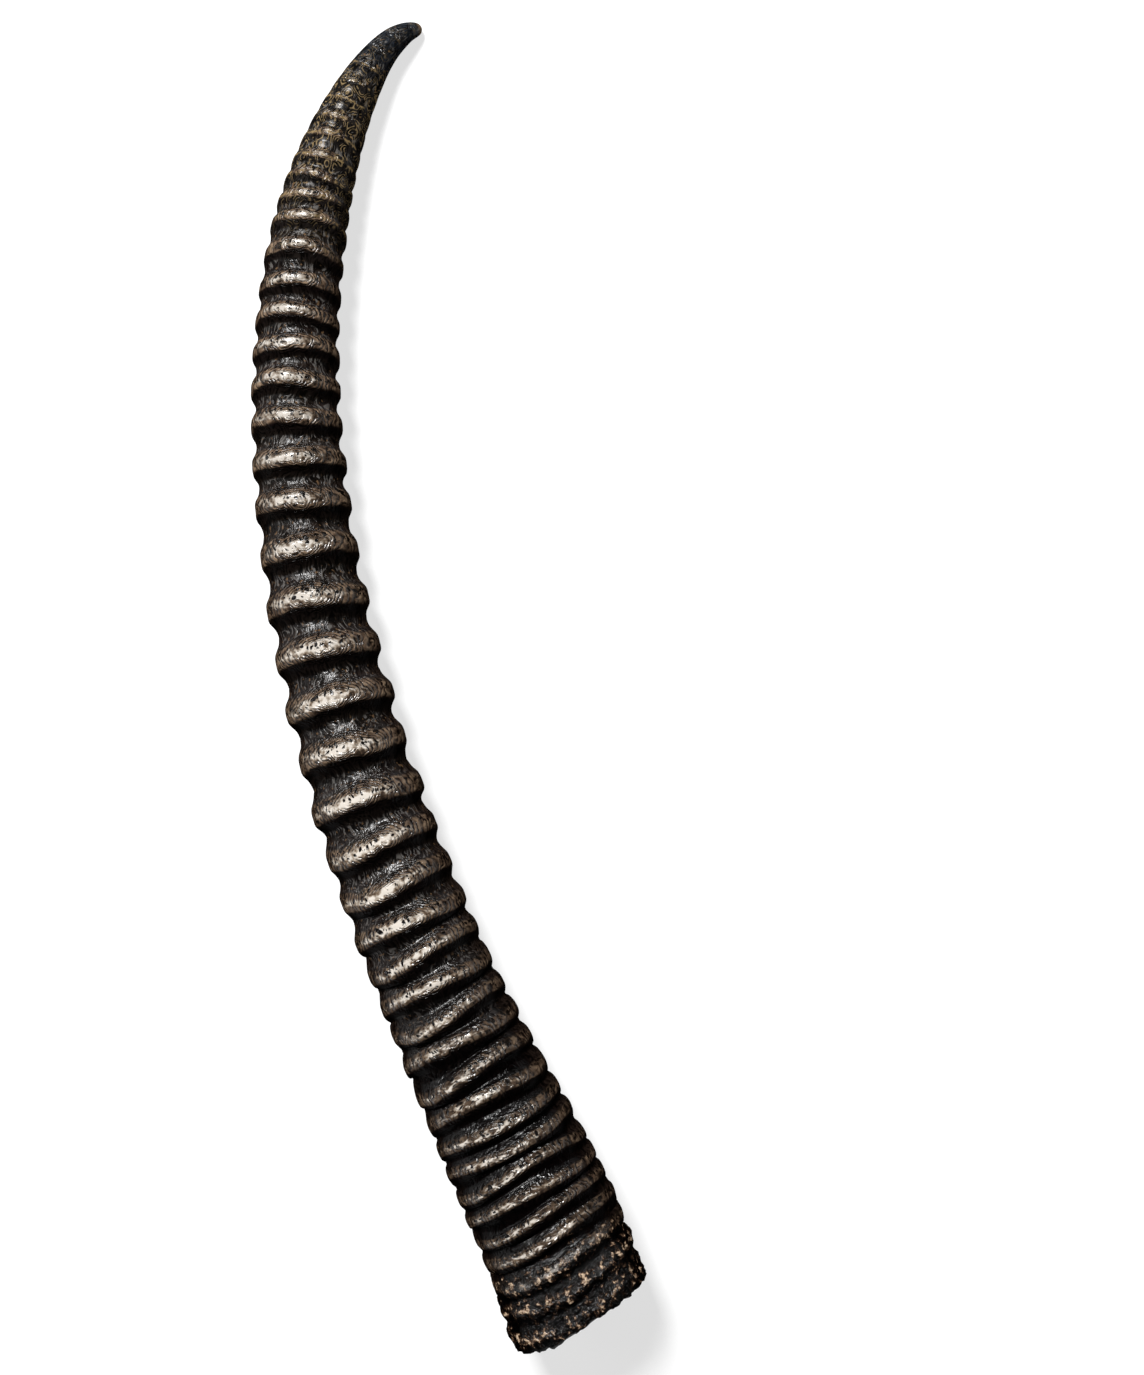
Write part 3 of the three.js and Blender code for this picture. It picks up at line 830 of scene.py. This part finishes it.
# An ochre arc on each crest near the tip: partly wear, partly a painted highlight.
arc = add_node(tree, "ShaderNodeMapRange", {0: off_crest, 1: 0.07, 2: 0.02}, **EASED)
arc_seen = add_node(tree, "ShaderNodeMath", {0: arc, 1: near_tip}, operation="MULTIPLY")
arc_in_patches = add_node(tree, "ShaderNodeMath", {0: worm_patch, 1: not_slate}, operation="MULTIPLY")
arc_wear_and_highlight = add_node(tree, "ShaderNodeMath", {0: arc_seen, 1: arc_in_patches}, operation="MULTIPLY")
with_arcs = add_node(tree, "ShaderNodeMix", {0: arc_wear_and_highlight, 6: with_worms.outputs[2], 7: linear("#655438")},
                     data_type="RGBA")
apex = add_node(tree, "ShaderNodeMapRange", {0: down_axis, 1: 0.0045, 2: 0.001}, **EASED)
with_apex = add_node(tree, "ShaderNodeMix", {0: apex, 6: with_arcs.outputs[2], 7: linear("#5a452c")},
                     data_type="RGBA")
print("tip done")

# %% Crust
clump = add_node(tree, "ShaderNodeTexNoise",
                 {"Vector": at, "Scale": 1 / (3 * MM), "Detail": 4.0, "Roughness": 0.6})
# The crust is pushed darker in the gaps between the rolls: painted shade.
crust_shaded_in_gaps = add_node(tree, "ShaderNodeMath", {0: off_crest, 1: -0.25, 2: clump}, operation="MULTIPLY_ADD")
crust_colour = add_node(tree, "ShaderNodeValToRGB", {0: crust_shaded_in_gaps}, stops=[
    (0.36, "#010101"), (0.45, "#080504"), (0.52, "#20160f"), (0.56, "#604a39"),
    (0.61, "#ac967e")])
with_crust = add_node(tree, "ShaderNodeMix", {0: crusty, 6: with_apex.outputs[2], 7: crust_colour},
                      data_type="RGBA")
tree.links.new(with_crust.outputs[2], shader.inputs["Base Color"])
print("crust done")

# %% [markdown]
# The broad faces are polished by rubbing, and the two edges and the grooves under the
# crests stay dull. Polish is a thin clear layer over the fibres, so it is the shader's
# coat, whose weight follows where the horn is rubbed. The fibres under it scatter light
# without a shine of their own, so the body's specular level is 0, or dull grooves would
# look grey. The coat's index is matched to the photograph from keratin's 1.55.

# %% Polish
POLISH_LOSS_IN_GROOVE = 0.9
LOSS_IN_VALLEY = 0.72
LOSS_ON_CRUST = 0.2

face_polish = add_node(tree, "ShaderNodeMapRange", {0: broad, 1: 0.5, 2: 0.92}, **EASED)
under_crest = add_node(tree, "ShaderNodeMapRange", {0: ring_share, 1: 0.58, 2: 0.66}, **EASED)
before_valley = add_node(tree, "ShaderNodeMapRange", {0: past_shadow, 3: 1.0, 4: 0.0})
in_shadow = add_node(tree, "ShaderNodeMath", {0: under_crest, 1: before_valley}, operation="MULTIPLY")
from_top = add_node(tree, "ShaderNodeMath", {0: from_crest, 1: 0.1}, operation="ADD")
off_top = add_node(tree, "ShaderNodeMath", {0: from_top}, operation="ABSOLUTE")
off_roll = add_node(tree, "ShaderNodeMapRange", {0: off_top, 1: 0.26, 2: 0.36}, **EASED)
in_groove = add_node(tree, "ShaderNodeMath", {0: off_roll, 1: near_base}, operation="MULTIPLY")
hidden = add_node(tree, "ShaderNodeMath", {0: in_shadow, 1: in_groove}, operation="MAXIMUM")
less_in_valley = add_node(tree, "ShaderNodeMath", {0: valley, 1: LOSS_IN_VALLEY}, operation="MULTIPLY")
less_on_crust = add_node(tree, "ShaderNodeMath", {0: crusty, 1: LOSS_ON_CRUST}, operation="MULTIPLY")
less = add_node(tree, "ShaderNodeMath", {0: less_in_valley, 1: less_on_crust}, operation="MAXIMUM")
dulled = add_node(tree, "ShaderNodeMath", {0: hidden, 1: less}, operation="MAXIMUM")
open_part = add_node(tree, "ShaderNodeMapRange", {0: dulled, 3: 1.0, 4: 1 - POLISH_LOSS_IN_GROOVE})
body_polish = add_node(tree, "ShaderNodeMath", {0: face_polish, 1: open_part}, operation="MULTIPLY")
tip_share = add_node(tree, "ShaderNodeMapRange", {0: down_axis, 1: 0.5, 2: 0.12, 3: 1.0, 4: 0.3})
polish = add_node(tree, "ShaderNodeMath", {0: body_polish, 1: tip_share}, operation="MULTIPLY")
tree.links.new(polish.outputs[0], shader.inputs["Coat Weight"])
shader.inputs["Coat Roughness"].default_value = 0.22
shader.inputs["Coat IOR"].default_value = 1.6
shader.inputs["Roughness"].default_value = 0.55
shader.inputs["IOR"].default_value = 1.55
shader.inputs["Specular IOR Level"].default_value = 0.0
print("polish done")

# %% [markdown]
# Relief too fine for the mesh is added as a bump, whose height is summed in
# millimetres: strands, the crust's grains, streaks on the crests, pits and wrinkles.

# %% Fine relief
PIT_DEPTH_MM = 0.8
WRINKLE_DEPTH_MM = 0.22
CRUST_GRAIN_MM = 3.0

strands_mm = add_node(tree, "ShaderNodeMapRange", {0: valley, 3: 0.2, 4: 0.45})
less_at_tip = add_node(tree, "ShaderNodeMapRange", {0: near_tip, 3: 1.0, 4: 0.12})
fibre_mm = add_node(tree, "ShaderNodeMath", {0: strands_mm, 1: less_at_tip}, operation="MULTIPLY")
fibre_high = add_node(tree, "ShaderNodeMath", {0: fibre, 1: fibre_mm}, operation="MULTIPLY")
clump_mm = add_node(tree, "ShaderNodeMath", {0: crusty, 1: CRUST_GRAIN_MM}, operation="MULTIPLY")
clump_high = add_node(tree, "ShaderNodeMath", {0: clump, 1: clump_mm, 2: fibre_high},
                      operation="MULTIPLY_ADD")
streak_mm = add_node(tree, "ShaderNodeMapRange", {0: near_base, 3: 0.1, 4: 0.3})
streak_high = add_node(tree, "ShaderNodeMath", {0: streak, 1: streak_mm, 2: clump_high},
                       operation="MULTIPLY_ADD")
pit_high = add_node(tree, "ShaderNodeMath", {0: pits, 1: -PIT_DEPTH_MM, 2: streak_high},
                    operation="MULTIPLY_ADD")
groove_high = add_node(tree, "ShaderNodeMath", {0: groove, 1: wrinkled}, operation="MULTIPLY")
all_high = add_node(tree, "ShaderNodeMath", {0: groove_high, 1: WRINKLE_DEPTH_MM, 2: pit_high},
                    operation="MULTIPLY_ADD")
bump = add_node(tree, "ShaderNodeBump", {"Height": all_high, "Distance": MM, "Strength": 1.0})
tree.links.new(bump.outputs[0], shader.inputs["Normal"])
tree.links.new(bump.outputs[0], shader.inputs["Coat Normal"])
print("nodes in the keratin:", len(tree.nodes))

# %% [markdown]
# Inside the sheath the keratin is dull: it held living tissue, not weather.

# %% The hollow's own finish
inside, inner_tree, inner_shader = new_material("horn_keratin_inside")
where = add_node(inner_tree, "ShaderNodeTexCoord")
cloudy = add_node(inner_tree, "ShaderNodeTexNoise",
                  {"Vector": where.outputs["Object"], "Scale": 1 / (6 * MM), "Detail": 5.0})
inner_colour = add_node(inner_tree, "ShaderNodeValToRGB", {0: cloudy}, stops=[
    (0.35, "#2b2019"), (0.7, "#7b6553")])
inner_bump = add_node(inner_tree, "ShaderNodeBump", {"Height": cloudy, "Distance": MM, "Strength": 0.8})
inner_tree.links.new(inner_colour.outputs[0], inner_shader.inputs["Base Color"])
inner_tree.links.new(inner_bump.outputs[0], inner_shader.inputs["Normal"])
inner_shader.inputs["Roughness"].default_value = 0.75
inner_shader.inputs["IOR"].default_value = 1.55

horn.data.materials.append(keratin)
horn.data.materials.append(inside)
finish = np.zeros(len(horn.data.polygons), np.int32)
finish[skin_faces + ROUND_STEPS:] = 1
horn.data.polygons.foreach_set("material_index", finish)
print("inside faces:", int(finish.sum()))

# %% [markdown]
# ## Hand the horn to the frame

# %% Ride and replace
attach(horn, "root")
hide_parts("horn")
print("the sheath stands for the node horn")

# %% [markdown]
# ## Floor, light and camera
#
# The floor is plain and pale. It is a white sheet lit softly from below, as is usual
# where a picture needs a clear white ground. One soft light shines along the horn from
# beyond its tip, so that every ring is bright on its tipward side and dark on the other.
# A weak one fills in from the left.

# %% Floor
bpy.ops.object.select_all(action="DESELECT")
bpy.ops.mesh.primitive_plane_add(size=8, location=(0, 0, -0.0003))
floor = bpy.context.object
floor.name = "floor"
paper, paper_tree, paper_shader = new_material("white_acrylic_sheet")
paper_shader.inputs["Base Color"].default_value = linear("#8c8c8c")
paper_shader.inputs["Roughness"].default_value = 0.9
paper_shader.inputs["Emission Color"].default_value = (1, 1, 1, 1)
paper_shader.inputs["Emission Strength"].default_value = 0.7
floor.data.materials.append(paper)
print("floor 8 m square")

# %% Lights


def soft_light(name, place, size, power):
    """A square area light that shines at the middle of the horn."""
    lamp = bpy.data.lights.new(name, "AREA")
    lamp.shape = "SQUARE"
    lamp.size = size
    lamp.energy = power
    holder = bpy.data.objects.new(name, lamp)
    holder.location = place
    holder.rotation_euler = (-Vector(place)).to_track_quat("-Z", "Y").to_euler()
    bpy.context.collection.objects.link(holder)


soft_light("key", (-0.53, 1.75, 2.15), 0.75, 196)
soft_light("side", (-1.3, 0.5, 0.7), 0.6, 3)
world = bpy.data.worlds.new("studio")
bpy.context.scene.world = world
world.use_nodes = True
world.node_tree.nodes["Background"].inputs[0].default_value = (1, 1, 1, 1)
world.node_tree.nodes["Background"].inputs[1].default_value = 0.06
print("two soft lights and a dim room")

# %% [markdown]
# The camera looks down on the lying horn from the photograph's angle. Its place and
# turn were found by laying the plain solid's outline over the photographed one. Its
# sensor's 36 mm lie along the picture's longer side, which is its height.

# %% Camera
TILT = math.radians(2.5)
ROLL = math.radians(7.458)
FOCAL_PIXELS = 2025
FRAME_HEIGHT = 1375
CAMERA_PLACE = (0.07059, 0.03467, 0.99520)

towards = Vector((0, math.sin(TILT), math.cos(TILT)))
plain_up = Vector((0, math.cos(TILT), -math.sin(TILT)))
plain_right = Vector((1, 0, 0))
camera_up = plain_up * math.cos(ROLL) + plain_right * math.sin(ROLL)
camera_right = plain_right * math.cos(ROLL) - plain_up * math.sin(ROLL)
lens = bpy.data.cameras.new("camera")
lens.sensor_width = 36
lens.lens = 36 * FOCAL_PIXELS / FRAME_HEIGHT
camera = bpy.data.objects.new("camera", lens)
bpy.context.collection.objects.link(camera)
camera.matrix_world = Matrix.Translation(CAMERA_PLACE) @ Matrix(
    (camera_right, camera_up, towards)).transposed().to_4x4()
bpy.context.scene.camera = camera
bpy.context.scene.view_settings.view_transform = "Standard"
print("lens", round(lens.lens, 1), "mm")

# %% Bring the scene up to date
bpy.context.view_layer.update()
